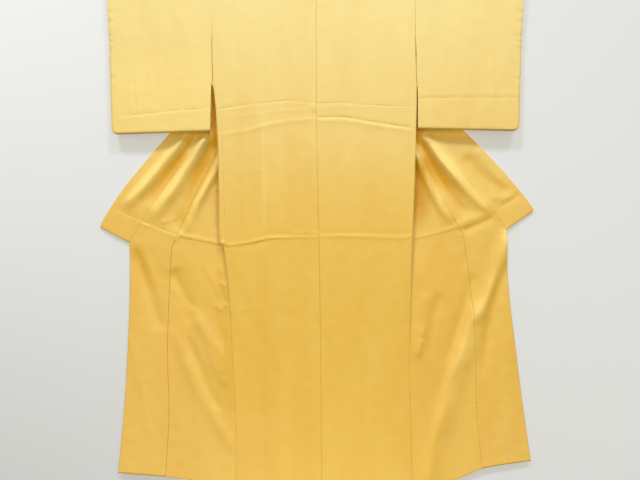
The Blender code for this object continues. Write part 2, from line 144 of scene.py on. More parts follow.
# Creases, in millimetres: how high each stands towards the viewer at its start and at its end, or
# how deep it lies where the number is negative, how wide its upper and lower flanks are, and the
# places that it runs through, across from the middle and down from the shoulder
SOFT_FLANKS = 22
BROAD_FOLDS = (
    (20, 7, 15, 20, (-385, 470), (-407, 496), (-432, 530), (-461, 560), (-505, 610), (-550, 663),
     (-605, 716)),
    (-10, -6, 24, 11, (-362, 495), (-385, 520), (-410, 563), (-445, 607), (-488, 663),
     (-518, 705)),
    (21, 6, 19, 21, (-333, 490), (-353, 514), (-380, 563), (-408, 601), (-450, 663), (-486, 713),
     (-518, 753)),
    (-12, -7, 36, 12, (-290, 510), (-304, 535), (-317, 563), (-341, 607), (-371, 663), (-392, 703),
     (-428, 785)),
    (14, 5, 16, 15, (-290, 560), (-304, 580), (-319, 607), (-350, 663), (-371, 703), (-406, 785)),
    (-6, -3, 28, 28, (-575, 860), (-500, 1110)),
    (-5, -3, 28, 28, (-450, 920), (-385, 1080)),
    (20, 6, 24, 17, (330, 487), (354, 517), (394, 570), (446, 632), (481, 672), (520, 706),
     (548, 730)),
    (15, 3, 18, 14, (312, 540), (328, 585), (350, 632), (372, 678), (397, 725), (430, 766)),
    (-12, -4, 18, 18, (327, 523), (352, 576), (387, 632), (423, 678), (455, 716), (483, 738)),
    (-3.6, -3.8, 20, 20, (470, 560), (492, 585), (518, 613), (549, 638), (578, 652), (605, 667)),
    (3, 2, 14, 14, (504, 539), (561, 607), (606, 653)),
    (10, 8, 18, 22, (612, 800), (580, 920), (545, 1020), (512, 1090)),
    (-4, -3, 20, 18, (500, 945), (477, 1043), (449, 1130), (420, 1215)),
    (10, 7, 26, 42, (512, 1050), (482, 1157), (446, 1281), (415, 1400), (345, 1690)),
    (-6, -4, 16, 20, (606, 900), (578, 1011), (552, 1140), (540, 1272)),
    (-4, -3, 18, 18, (392, 1000), (368, 1108), (352, 1190)),
    (-3, -3, 10, 14, (470, 792), (520, 770), (560, 752)),
    (4, 3, 24, 21, (-448, 1124), (-385, 1315), (-319, 1418), (-271, 1508)),
    (4, 3, 21, 17, (-392, 1045), (-343, 1140), (-316, 1239), (-297, 1288)),
    (-3, -2, 14, 14, (-405, 1150), (-352, 1290), (-310, 1370)),
    (4, 3, 24, 24, (348, 1000), (332, 1200)),
)
FAN_CREASES = (
    (-0.9, -0.9, 6, 5, (-633, 722), (-578, 747), (-545, 763), (-502, 780), (-471, 793),
     (-434, 804)),
    (0.4, 0.5, 5, 7, (-620, 738), (-545, 772), (-502, 789), (-471, 802), (-434, 812)),
    (2.4, 2.8, 5, 8, (-434, 804), (-394, 812), (-350, 820), (-294, 832)),
    (1.8, 1.8, 6, 6, (-551, 768), (-534, 776), (-515, 778)),
    (2.2, 1.8, 8, 8, (-487, 766), (-461, 760), (-440, 750)),
    (1.6, 1.4, 5, 5, (-408, 790), (-429, 807), (-448, 826)),
    (1, 0.8, 4, 5, (-303, 655), (-318, 664), (-330, 676)),
    (-2.5, -3.5, 10, 10, (-300, 625), (-305, 709), (-306, 794)),
    (-6, -3, 13, 13, (310, 575), (316, 640), (324, 730)),
    (2.8, 2.4, 10, 6, (554, 688), (598, 691), (627, 679)),
    (-3, -2.4, 6, 7, (583, 716), (610, 703), (632, 688), (638, 675)),
    (1, 2.6, 6, 6, (306, 816), (359, 804), (409, 791), (448, 779)),
    (3, 2, 13, 12, (448, 779), (487, 755), (512, 749), (536, 740)),
    (3, 2.4, 6, 7, (336, 1140), (328, 1190)),
    (2.2, 1.8, 5, 6, (346, 1092), (340, 1130)),
    (1.4, 1.4, 6, 6, (462, 800), (468, 830), (472, 858)),
    (2, 1.4, 13, 13, (579, 820), (551, 963), (506, 1050), (461, 1206), (415, 1321), (386, 1471),
     (355, 1600)),
    (-1.6, -1.2, 12, 12, (590, 867), (559, 1043), (549, 1141)),
    (-2, -1.4, 12, 12, (-574, 851), (-540, 979), (-496, 1108)),
    (1.8, 1.2, 14, 14, (-545, 860), (-505, 990), (-470, 1090)),
    (-2, -1.4, 12, 12, (-451, 940), (-414, 1011), (-383, 1043)),
    (2.6, 2, 14, 12, (-320, 1150), (-302, 1193), (-300, 1250)),
    (2.6, 2, 6, 6, (-304, 900), (-300, 925)),
    (3, 2.4, 6, 6, (-298, 955), (-286, 970)),
    (2.8, 2.2, 7, 6, (-314, 1028), (-298, 1046)),
    (-3, -2.6, 7, 7, (-294, 985), (-287, 1020)),
    (2.4, 2, 4, 4, (-284, 1026), (-279, 1036)),
    (1.6, 1.2, 10, 10, (-352, 905), (-320, 960), (-305, 1000)),
    (1.2, 1, 15, 15, (-590, 1180), (-560, 1330), (-545, 1500)),
    (1.1, 0.9, 16, 16, (620, 1150), (628, 1330), (640, 1520)),
)
BACK_CREASES = (
    (-0.5, -0.4, 4, 4, (-300, 411), (-200, 397), (-85, 386), (-2, 395), (84, 392), (137, 398),
     (303, 404)),
    (0.3, 0.25, 4, 6, (-298, 420), (-85, 394), (84, 400), (290, 412)),
    (0.4, 0.4, 5, 5, (-270, 440), (-150, 425), (0, 412), (120, 406)),
    (1.4, 1.3, 4, 8, (-295, 491), (-203, 477), (-147, 461), (-79, 449), (-2, 443)),
    (1.2, 1.2, 4, 7, (4, 447), (91, 447), (168, 460), (245, 472), (304, 480)),
    (-1.2, -1.2, 4, 4, (4, 438), (91, 438), (168, 451), (245, 463), (300, 471)),
    (2, 1.4, 4, 4, (-290, 833), (-250, 831), (-203, 824), (-146, 811), (-43, 808), (4, 809)),
    (1.3, 1.3, 5, 6, (4, 808), (76, 803), (271, 812), (302, 803)),
    (-0.8, -0.6, 6, 6, (-250, 845), (-203, 836), (-146, 822)),
    (-0.6, -0.6, 6, 6, (-146, 800), (4, 797), (150, 795), (290, 797)),
    (1, 0.8, 6, 18, (-146, 120), (-149, 300), (-152, 700), (-155, 1100), (-158, 1600)),
    (0.6, 0.5, 8, 8, (277, 120), (281, 500), (284, 1000), (290, 1600)),
    (0.4, 0.4, 9, 9, (-250, 610), (-200, 603), (-150, 600)),
    (1.8, 1.4, 4, 4, (-10, 398), (-2, 420)),
    (1.4, 1.2, 4, 4, (0, 790), (12, 802)),
    (1.2, 1, 5, 5, (-70, 798), (-30, 793), (2, 800)),
    (0.4, 0.4, 9, 9, (-270, 1050), (-200, 1035), (-155, 1030)),
    (0.3, 0.3, 9, 9, (-200, 1190), (-160, 1188)),
    (4.5, 4, 5, 6, (-294, 823), (-284, 829)),
    (0.5, 0.4, 9, 9, (-256, 214), (-257, 295), (-260, 377)),
    (0.4, 0.4, 8, 8, (-139, 235), (-143, 386)),
    (0.6, 0.5, 7, 7, (-165, 432), (-164, 632), (-162, 788)),
    (0.5, 0.4, 9, 9, (-214, 401), (-219, 570), (-218, 788)),
)
# Sharp pressed lines, too thin for a fold, drawn as painted shade with a painted highlight just
# below: how dark, and the places in millimetres as above
PRESSED_LINES = (
    (0.4, (-290, 410), (-200, 397), (-120, 389), (-85, 386), (-40, 391), (-2, 395), (84, 392),
     (137, 398), (220, 402), (303, 404)),
    (0.4, (10, 436), (91, 436), (168, 449), (245, 461), (290, 468)),
    (0.45, (-620, 730), (-545, 763), (-502, 780), (-434, 803)),
    (0.45, (-420, 815), (-350, 827), (-300, 838)),
    (0.4, (-560, 430), (-500, 424), (-433, 416), (-340, 411)),
    (0.3, (320, 381), (450, 377), (610, 378)),
    (0.38, (-280, 840), (-250, 837), (-203, 829), (-146, 816), (-100, 812)),
    (0.2, (-288, 450), (-286, 600), (-281, 822)),
    (0.3, (300, 822), (360, 810), (420, 796)),
)


def ease(value):
    """A smooth step from 0 to 1."""
    value = np.clip(value, 0.0, 1.0)
    return value * value * (3 - 2 * value)


def within(value, low, high, fade_in, fade_out):
    """1 between low and high, fading in from low and out towards high."""
    return ease((value - low) / fade_in) * ease((high - value) / fade_out)


def follow(places, values, at):
    """A smooth curve through the values at some places, read at other places."""
    places = np.asarray(places, dtype=float)
    values = np.asarray(values, dtype=float)
    last = len(places) - 1
    before = np.maximum(np.arange(last + 1) - 1, 0)
    after = np.minimum(np.arange(last + 1) + 1, last)
    slope = (values[after] - values[before]) / (places[after] - places[before])
    at = np.clip(at, places[0], places[-1])
    i = np.clip(np.searchsorted(places, at, side="right") - 1, 0, last - 1)
    step = places[i + 1] - places[i]
    t = (at - places[i]) / step
    rise = values[i + 1] - values[i]
    start = slope[i] * step
    end = slope[i + 1] * step
    return values[i] + t * (start + t * (3 * rise - 2 * start - end + t * (start + end - 2 * rise)))


def line(side, column, drop):
    """How far out one of a side's lines lies at each drop."""
    return follow(side["lines"]["drop"], side["lines"][column], drop)


def rows_between(start, end, busy):
    """Places from start to end, set closer together in the busy stretches."""
    fine = np.linspace(start, end, 2000)
    spacing = np.full(len(fine), ROW_GAP)
    for low, high in busy:
        spacing[(fine > low) & (fine < high)] = BUSY_ROW_GAP
    steps = np.concatenate([[0.0], np.cumsum(abs(end - start) / (len(fine) - 1) / spacing[1:])])
    count = int(round(steps[-1]))
    return np.interp(np.linspace(0, steps[-1], count + 1), steps, fine)


def columns_over(width, count):
    """Places across a width, with three close ones at each edge for its rolled seam."""
    edge = np.array([0.0, 0.0010, 0.0021, SEAM_ROLL_WIDTH])
    inner = np.linspace(edge[-1], width - edge[-1], count - 6)
    return np.concatenate([edge[:-1], inner, width - edge[:-1][::-1]])


def from_line(x, drop, places):
    """How far points are from a line through places, how far along it and what share of it,
    and if they lie above it."""
    run = np.array(places) / 1000
    lengths = np.hypot(*np.diff(run, axis=0).T)
    total = lengths.sum()
    shape = np.broadcast(x, drop).shape
    nearest, along, above = np.full(shape, 9.0), np.zeros(shape), np.zeros(shape, dtype=bool)
    done = 0.0
    for (x0, d0), (x1, d1), length in zip(run, run[1:], lengths):
        across, down = x1 - x0, d1 - d0
        t = ((x - x0) * across + (drop - d0) * down) / length ** 2
        if done > 0:
            t = np.maximum(t, 0.0)
        if done + length < total - 1e-6:
            t = np.minimum(t, 1.0)
        on_line = np.clip(t, 0, 1)
        away = np.hypot(x - x0 - across * on_line, drop - d0 - down * on_line)
        closer = away < nearest
        side = (across * (drop - d0) - down * (x - x0)) * (1 if across >= 0 else -1) < 0
        nearest = np.where(closer, away, nearest)
        along = np.where(closer, done + t * length, along)
        above = np.where(closer, side, above)
        done += length
    return nearest, along, along / total, above


def creased(x, drop, creases):
    """How far the creases lift the cloth towards the viewer at each point, in metres."""
    lift = np.zeros(np.broadcast(x, drop).shape)
    for start, end, upper, lower, *places in creases:
        nearest, along, share, above = from_line(x, drop, places)
        uneven = 1 + 0.22 * np.sin(along * 31 + start * 9 + upper)
        away = nearest / np.where(above, upper, lower) * 1000
        if upper + lower > SOFT_FLANKS:
            profile = np.exp(-away ** 2)
        else:
            profile = np.exp(1 - np.sqrt(1 + 3 * away ** 2))
        height = start + (end - start) * np.clip(share, 0, 1)
        lift += height / 1000 * within(share, -0.10, 1.10, 0.2, 0.2) * uneven * profile
    return lift


def waver(at, seed, longest, amount):
    """A gentle wandering along a line, the same each time for one seed."""
    phases = np.random.RandomState(seed).uniform(0, 2 * math.pi, 5)
    total = np.zeros(np.shape(at))
    for i, phase in enumerate(phases):
        total += np.sin(at * 2 * math.pi / longest * 1.7 ** i + phase) / 1.5 ** i
    return total * amount / 2


def drape(x, drop, seed, amount):
    """Soft unevenness of hanging cloth: long down the garment and short across it."""
    chance = np.random.RandomState(seed)
    total = np.zeros(np.broadcast(x, drop).shape)
    for across, down, share in ((0.21, 0.9, 1.0), (0.13, 0.7, 0.8), (0.09, 0.34, 0.5),
                                (0.07, 0.16, 0.35), (0.05, 0.10, 0.22), (0.15, 0.06, 0.20)):
        turn = chance.uniform(-0.25, 0.25)
        phase = chance.uniform(0, 2 * math.pi, 2)
        along = x + turn * drop
        total += share * (np.sin(along * 2 * math.pi / across + phase[0])
                          * np.sin(drop * 2 * math.pi / down + phase[1]))
    return total * amount / 2


def front_folds(x, drop, soft=1.0):
    """The folds of a front, which run on over its gore and the collar."""
    return creased(x, drop, BROAD_FOLDS + FAN_CREASES) + drape(x, drop, 5, 0.0016) * soft


def at_seam(away, drop, seed, puckers=0.0004):
    """How a seam's edge sits: rolled in, with puckers beside it and its allowance showing."""
    rolled = SEAM_ROLL * np.clip(1 - away / SEAM_ROLL_WIDTH, 0, 1) ** 2
    gathered = puckers * np.exp(-away / SEAM_ALLOWANCE) * (
        np.sin(drop * 2 * math.pi / SEAM_PUCKER_GAP + waver(drop, seed, 0.3, 2.5))
        * (0.5 + waver(drop, seed + 1, 0.17, 0.5)))
    allowance = 0.00025 * ease((SEAM_ALLOWANCE - away) / 0.0022)
    return -rolled + gathered + allowance


def hang(x, y, drop):
    """Points of the garment. Its drop is drawn in low down, so that the hem follows its line."""
    low = np.clip((drop - 0.9) / (LENGTH - 0.9), 0, None)
    drop = drop + (follow(HEM["across"], HEM["drop"], x) - LENGTH) * low
    return np.stack(np.broadcast_arrays(x, y, SHOULDER_Z - drop), axis=-1)


def back_depth(drop):
    """How far out the back hangs from the rod's middle plane."""
    return CLOTH_ROUND_ROD + 0.0016 * ease(drop / 0.2)


def gore_seam_depth(drop):
    """How far the gore seam hangs from that plane, towards the wall."""
    settled = 0.0225 - 0.006 * ease((drop - 0.85) / 0.5)
    return CLOTH_ROUND_ROD + (settled - CLOTH_ROUND_ROD) * ease(drop / 0.15)


def flush_below(drop):
    """How flat the side seam lies, from 0 at the hips to 1 at the knees."""
    return ease((drop - 0.77) / 0.24)


def fan_set_back(side, drop):
    """The fans hang a little further in behind the sleeves, where their folds are deepest."""
    return side["set_back"] * within(drop, 0.25, 0.86, 0.15, 0.25)


def back_net(side, columns, drop):
    """The back half: its columns are measured from the side edge to the neck, then onwards."""
    edge = line(side, "side", drop)
    middle = side["sign"] * follow(CENTRE_SEAM["drop"], CENTRE_SEAM["across"], drop)
    wide, narrow = columns
    out = np.concatenate([edge + (NECK_HALF_WIDTH - edge) * wide / wide[-1],
                          NECK_HALF_WIDTH + (middle - NECK_HALF_WIDTH) * narrow / narrow[-1]], axis=1)
    x = side["sign"] * out
    sewn = ease((drop - SIDE_SEAM_DROP) / 0.02)
    lift = creased(x, drop, BACK_CREASES) + drape(x, drop, 3, 0.0011)
    lift += at_seam(edge - out, drop, 11) * (0.4 + 0.6 * sewn - 0.75 * ease((drop - 0.85) / 0.15))
    lift += at_seam(out - middle, drop, 12 if side["sign"] > 0 else 13, 0.0003)
    lift -= FLUSH_SET_IN * flush_below(drop) * np.exp(-(edge - out) / 0.02)
    lift *= ease((drop - 0.02) / 0.06)
    return hang(x, -back_depth(drop) - lift, drop)


def front_net(side, columns, drop):
    """The front half: in behind the back, round its fold, and out again to the gore seam."""
    edge = line(side, "side", drop)
    seam = line(side, "gore", drop)
    sewn = ease((drop - SLEEVE_SEAM_DROP) / (SIDE_SEAM_DROP - SLEEVE_SEAM_DROP))
    flush = flush_below(drop)
    edge_y = (back_depth(drop) + (FRONT_UNDER_EDGE - 2 * back_depth(drop)) * sewn
              + FLUSH_SET_IN * flush)
    seam_y = gore_seam_depth(drop)
    # The fold gets tighter and comes forward low down, where the layers lie flat on each other
    lower = ease((drop - 0.6) / 0.6)
    radius = 0.006 - 0.0015 * lower - 0.0035 * flush
    middle_y = 0.0115 - 0.0115 * lower - 0.0095 * flush
    fold = np.minimum(edge - (FRONT_WIDTH - (seam - edge)) / 2, edge - 0.008)
    centre = fold + radius
    under = edge - centre
    bend = math.pi * radius
    outer = np.maximum(seam - centre, 0.004)
    gone = columns / columns[-1] * (under + bend + outer)
    t_under = np.clip(gone / under, 0, 1)
    angle = math.pi * np.clip((gone - under) / bend, 0, 1)
    t_outer = np.clip((gone - under - bend) / outer, 0, 1)
    out = edge - under * t_under - radius * np.sin(angle) + outer * t_outer
    y = (edge_y + (middle_y - radius - edge_y) * t_under + radius * (1 - np.cos(angle))
         + (seam_y - middle_y - radius) * ease(t_outer))
    behind_slit = within(drop, 0.20, 0.352, 0.03, 0.02)
    out += (FRONT_PAST_EDGE * sewn + FRONT_IN_SLIT * behind_slit) * np.clip(1 - gone / 0.03, 0, 1)
    y += 0.002 * behind_slit * (1 - t_under)
    opened = ease(drop / 0.15)
    out = edge + (seam - edge) * columns / columns[-1] * (1 - opened) + (out - edge) * opened
    y = back_depth(drop) * (1 - opened) + y * opened
    x = side["sign"] * out
    lift = front_folds(x, drop) * ease(t_outer * (3 + 7 * flush))
    lift -= fan_set_back(side, drop) * ease(t_outer * 2)
    lift += at_seam(seam - out, drop, 21) * ease((t_outer - 0.5) / 0.3)
    return hang(x, y - lift * opened, drop)


def over_rod(row, radius, end):
    """Rows that carry a row of points round the top of the rod, up to one of its steps."""
    turns = np.linspace(0, math.pi, WRAP_STEPS + 1)[1:end, None]
    rows = np.repeat(row[None], len(turns), axis=0)
    rows[..., 1] = -radius * np.cos(turns)
    rows[..., 2] = SHOULDER_Z - ROD_DROP + radius * np.sin(turns)
    return rows


def unit(ways):
    """The same ways, each one metre long."""
    return ways / np.maximum(np.linalg.norm(ways, axis=-1, keepdims=True), 1e-9)


def turned_hem(net, side_out):
    """Adds rows to the start and end of a net, where the hem is turned up on the inside."""
    pieces = [net]
    for end in (0, -1):
        edge = net[end]
        inner = net[1] if end == 0 else net[-2]
        down = unit(edge - inner)
        inside = unit(np.cross(down, np.gradient(edge, axis=0)))
        inside *= side_out if end == 0 else -side_out
        rows = []
        for degrees in HEM_TURN:
            turn = math.radians(degrees)
            rows.append(edge + HEM_ROLL * (down * math.sin(turn) + inside * (1 - math.cos(turn))))
        turned = rows[-1]
        for up in HEM_UP:
            rows.append(turned - down * up + inside * 0.0002)
        rows = np.array(rows)
        pieces = [rows[::-1], *pieces] if end == 0 else [*pieces, rows]
    return np.concatenate(pieces)


def flat_places(net):
    """Where a net's points lie on the flat cloth, in metres across and along."""
    across = np.linalg.norm(np.diff(net, axis=1), axis=-1)
    along = np.linalg.norm(np.diff(net, axis=0), axis=-1)
    u = np.concatenate([np.zeros((len(net), 1)), np.cumsum(across, axis=1)], axis=1)
    v = np.concatenate([[0.0], np.cumsum(np.median(along, axis=1))])
    return np.stack(np.broadcast_arrays(u, v[:, None]), axis=-1)


def read_triples(items, name):
    """A property of three numbers of a mesh's vertices or normals, a row for each."""
    triples = np.empty(3 * len(items))
    items.foreach_get(name, triples)
    return triples.reshape(-1, 3)


def keep_values(mesh, name, values):
    """Keeps a value for each vertex in the mesh, for the silk to read."""
    mesh.attributes.new(name, "FLOAT", "POINT").data.foreach_set("value", values)


def cut_and_sew(name, net, sewn, cloth_of=None):
    """A thin shell of cloth on a net of points, rows by columns. sewn says for each row how
    far in the seam lines at its start and its end begin, and cloth_of which squares are cloth."""
    rows, columns = net.shape[:2]
    bpy.ops.object.select_all(action="DESELECT")
    bpy.ops.mesh.primitive_grid_add(x_subdivisions=columns - 1, y_subdivisions=rows - 1, size=1)
    piece = bpy.context.object
    piece.name = name
    mesh = piece.data
    places = read_triples(mesh.vertices, "co")
    column = np.rint((places[:, 0] + 0.5) * (columns - 1)).astype(int)
    row = np.rint((places[:, 1] + 0.5) * (rows - 1)).astype(int)
    mesh.vertices.foreach_set("co", net[row, column].ravel())
    corner = np.empty(len(mesh.loops), dtype=np.int32)
    mesh.loops.foreach_get("vertex_index", corner)
    flat = flat_places(net)
    mesh.uv_layers[0].name = "cloth"
    mesh.uv_layers[0].data.foreach_set("uv", flat[row, column][corner].ravel())
    across = flat[..., 0]
    seam = np.minimum(across + sewn[0][:, None], across[:, -1:] - across + sewn[1][:, None])
    keep_values(mesh, "seam", seam[row, column])
    sheet = bmesh.new()
    sheet.from_mesh(mesh)
    if cloth_of is not None:
        sheet.verts.ensure_lookup_table()
        cut_away = []
        for face in sheet.faces:
            indices = [vert.index for vert in face.verts]
            if not cloth_of[row[indices].min(), column[indices].min()]:
                cut_away.append(face)
        bmesh.ops.delete(sheet, geom=cut_away, context="FACES")
    bmesh.ops.remove_doubles(sheet, verts=sheet.verts, dist=MERGE_WITHIN)
    bmesh.ops.recalc_face_normals(sheet, faces=sheet.faces)
    sheet.to_mesh(mesh)
    sheet.free()
    wall = piece.modifiers.new("cloth_thickness", "SOLIDIFY")
    wall.thickness = CLOTH_THICK
    wall.offset = 0.0
    bpy.ops.object.modifier_apply(modifier=wall.name)
    mesh.shade_smooth()
    return piece


# The faint cloud figure woven into the left front, as puffs of mist that run together: across,
# drop and radius of each, and how softly they join
CLOUD_JOIN = 0.016
CLOUD_PUFFS = (
    (-0.53, 1.06, 0.085), (-0.42, 1.10, 0.075), (-0.36, 1.155, 0.070), (-0.50, 1.20, 0.120),
    (-0.60, 1.25, 0.140), (-0.55, 1.42, 0.160), (-0.40, 1.50, 0.130), (-0.44, 1.38, 0.100),
    (-0.30, 1.46, 0.090), (-0.20, 1.43, 0.050), (-0.13, 1.415, 0.030), (-0.27, 1.56, 0.110),
)

# Upright pressed creases on the back, shown by painted shade and painted highlight beside them:
# across, width, and how much darker each is painted, less than nothing where it is painted lighter
PAINTED_CREASE_SHADING = ((-0.137, 0.016, 0.16), (-0.159, 0.010, -0.34), (-0.212, 0.016, -0.16))

# The hue of the painted bounced light and shade, from pale yellow to deep gold
UNDER_SLEEVE = 0.0
IN_SLIT = 0.33
ON_FLANK = 0.67
IN_FOLD = 1.0

# The slope, the depth and the height at which a broad fold's painted shade and highlight are full
FULL_SLOPE = 0.45
FULL_DEPTH = 0.007
FULL_HEIGHT = 0.014
SLOPE_STEP = 0.004


def cloud_distance(x, drop):
    """How far a point is outside the cloud figure's outline, less than nothing inside it."""
    inside = np.zeros(len(x))
    for middle, height, radius in CLOUD_PUFFS:
        away = np.hypot(x - middle, drop - height) - radius
        inside += np.exp(np.clip(-away / CLOUD_JOIN, -20, 20))
    return -CLOUD_JOIN * np.log(inside + 1e-9)


def pressed_distance(x, drop):
    """How far a point is above the nearest pressed line, and how strong that line is."""
    away, strength = np.full(len(x), 9.0), np.zeros(len(x))
    for strong, *places in PRESSED_LINES:
        nearest, _, share, above = from_line(x, drop, places)
        closer = nearest < np.abs(away)
        away = np.where(closer, np.where(above, nearest, -nearest), away)
        uneven = 0.45 + 0.3 * np.sin(share * 23 + strong * 50) + 0.15 * np.sin(share * 61)
        strength = np.where(closer, strong * uneven, strength)
    return away, strength


def painted_light_and_shade(x, y, drop, to_wall, on_sleeve):
    """How much painted shade and bounced light from other cloth near it the viewer's side of the cloth
    takes, less than nothing for a painted highlight where a fold faces the light, and its hue."""
    out = np.abs(x)
    outside = ease((y + 0.004) / 0.006) * (0.6 + 0.4 * ease((0.9 - drop) / 0.1))
    height = creased(x, drop, BROAD_FOLDS)
    slope = (creased(x, drop + SLOPE_STEP, BROAD_FOLDS)
             - creased(x, drop - SLOPE_STEP, BROAD_FOLDS)) / (2 * SLOPE_STEP)
    deep = np.clip(-height / FULL_DEPTH, 0, 1)
    high = 0.7 * np.clip(slope / FULL_SLOPE, 0, 1) + 0.8 * np.clip(height / FULL_HEIGHT, 0, 1)
    low = 0.8 * np.clip(-slope / FULL_SLOPE, 0, 1) * (1 - 0.3 * deep) + 0.58 * deep
    folded = np.clip(low - high * (1 - deep), -1, 1) * outside
    # Painted shade and painted bounced light where other cloth is close before it: in the fans
    # beside the back, next to the low side seams, under a sleeve, and in the open side slits
    right_wedge = ease((0.392 - out) / 0.07) * within(drop, 0.53, 0.82, 0.07, 0.12) * (x > 0)
    left_wedge = 0.4 * ease((0.35 - out) / 0.05) * within(drop, 0.53, 0.8, 0.08, 0.1)
    wedge = np.maximum(right_wedge, left_wedge) * outside
    from_seam = out - np.where(x < 0, line(SIDES["left"], "side", drop),
                               line(SIDES["right"], "side", drop))
    beside_seam = (0.34 * within(from_seam, 0, 0.070, 0.004, 0.050)
                   * within(drop, 0.86, np.where(x < 0, 1.58, 1.14), 0.08, 0.25))
    under_sleeve = (not on_sleeve) * outside * ease((out - 0.29) / 0.01) * ease((0.530 - drop) / 0.06)
    in_slit = (ease((y - 0.001) / 0.004) * within(out, 0.288, 0.345, 0.008, 0.02)
               * ease((0.60 - drop) / 0.15))
    other = np.maximum.reduce([wedge, beside_seam, under_sleeve, in_slit])
    share = folded * (1 - other) + other
    # Painted shade and highlight beside the upright pressed creases on the back
    for middle, width, amount in PAINTED_CREASE_SHADING:
        mark = amount * np.exp(-((x - middle) / width) ** 2)
        share = share + mark * (y < -0.008) * within(drop, 0.38, 0.84, 0.06, 0.06)
    # Painted light: the left sleeve is made paler below its top
    share = share - 0.45 * on_sleeve * (x < 0) * ease((drop - 0.12) / 0.25)
    deepest = np.clip(0.5 * deep * ease((slope + 0.4) / 0.4) + wedge + 1.5 * beside_seam, 0, 1)
    hue = ON_FLANK + (IN_FOLD - ON_FLANK) * deepest
    hue = hue + (UNDER_SLEEVE - hue) * under_sleeve * (1 - in_slit)
    hue = hue + (IN_SLIT - hue) * in_slit
    return share * ease((0.35 - to_wall) / 0.5), hue


def colour(red, green, blue):
    """A colour named as the eye sees it on a screen, as light, with its alpha."""
    light = [(part / 255 / 12.92 if part < 10.3 else ((part / 255 + 0.055) / 1.055) ** 2.4)
             for part in (red, green, blue)]
    return (*light, 1.0)


def join(value, socket):
    """Links a thread to a socket, or sets the socket to a plain value."""
    if isinstance(value, Thread):
        value.tree.links.new(value.socket, socket)
    else:
        socket.default_value = value


class Thread:
    """A value in a material's nodes. Sums on it add Math nodes, and add() any other node."""

    def __init__(self, tree, socket=None):
        self.tree = tree
        self.socket = socket

    def add(self, kind, settings=None, sockets=None, output=0):
        node = self.tree.nodes.new("ShaderNode" + kind)
        for name, value in (settings or {}).items():
            if name == "stops":
                ramp = node.color_ramp
                while len(ramp.elements) < len(value):
                    ramp.elements.new(1.0)
                for element, (place, tint) in zip(ramp.elements, value):
                    element.position = place
                    element.color = tint
            elif name == "curve":
                node.color_ramp.interpolation = value
            else:
                setattr(node, name, value)
        for name, value in (sockets or {}).items():
            join(value, node.inputs[name])
        return Thread(self.tree, node.outputs[output])

    def maths(self, operation, *values):
        return self.add("Math", {"operation": operation}, dict(enumerate(values)))

    def __add__(self, other):
        return self.maths("ADD", self, other)

    __radd__ = __add__

    def __sub__(self, other):
        return self.maths("SUBTRACT", self, other)

    def __rsub__(self, other):
        return self.maths("SUBTRACT", other, self)

    def __mul__(self, other):
        return self.maths("MULTIPLY", self, other)

    __rmul__ = __mul__

    def __truediv__(self, other):
        return self.maths("DIVIDE", self, other)

    def sine(self):
        return self.maths("SINE", self)

    def absolute(self):
        return self.maths("ABSOLUTE", self)

    def root(self):
        return self.maths("SQRT", self)

    def at_least(self, low):
        return self.maths("MAXIMUM", self, low)

    def between(self, low, high):
        """A smooth step, from 0 at low to 1 at high."""
        return self.add("MapRange", {"interpolation_type": "SMOOTHSTEP"},
                        {"Value": self, "From Min": low, "From Max": high})

    def part(self, which):
        """One of the three parts of a vector."""
        return self.add("SeparateXYZ", None, {0: self}, output=which)

    def from_to(self, one, other):
        """The colour that goes from one to another as this value goes from 0 to 1."""
        return self.add("Mix", {"data_type": "RGBA"}, {0: self, 6: one, 7: other}, output=2)

    def mixed(self, other, share):
        """This colour with a share of another."""
        return share.from_to(self, other)

    def ramp(self, *stops, **settings):
        """The colour that this value picks from a row of stops."""
        return self.add("ValToRGB", {**settings, "stops": stops}, {0: self})

    def attribute(self, name):
        """A value that is kept in the mesh."""
        return self.add("Attribute", {"attribute_name": name}, output=2)

    def bump(self, height, strength, distance, **normal):
        """The surface's direction where a height stands out from it."""
        return self.add("Bump", None, {"Height": height, "Strength": strength,
                                       "Distance": distance, **normal})

    def stretched(self, *scale, moved=(0.0, 0.0, 0.0)):
        """This place with each of its three parts multiplied, and moved."""
        return self.add("Mapping", None, {"Vector": self, "Scale": scale, "Location": moved})

    def noise(self, scale, detail=2.0, rough=0.5):
        return self.add("TexNoise", None, {"Vector": self, "Scale": scale, "Detail": detail,
                                           "Roughness": rough})


PALE = colour(255, 236, 150)
DEEP = colour(222, 158, 40)
DARK = colour(120, 62, 8)
GREENISH = colour(226, 183, 50)
CLOUD_LINE_GAP = 0.0076
WARP_GAP = 0.0010
WEFT_GAP = 0.0013


def start_material(name):
    """A new material, the place of each point on the object, and the material's shader."""
    finish = bpy.data.materials.new(name)
    finish.use_nodes = True
    place = Thread(finish.node_tree).add("TexCoord", output=3)
    return finish, place, finish.node_tree.nodes["Principled BSDF"]


def finish_material(shader, **sockets):
    """Joins values to the shader's sockets, or sets them there."""
    for name, value in sockets.items():
        join(value, shader.inputs[name.replace("_", " ")])


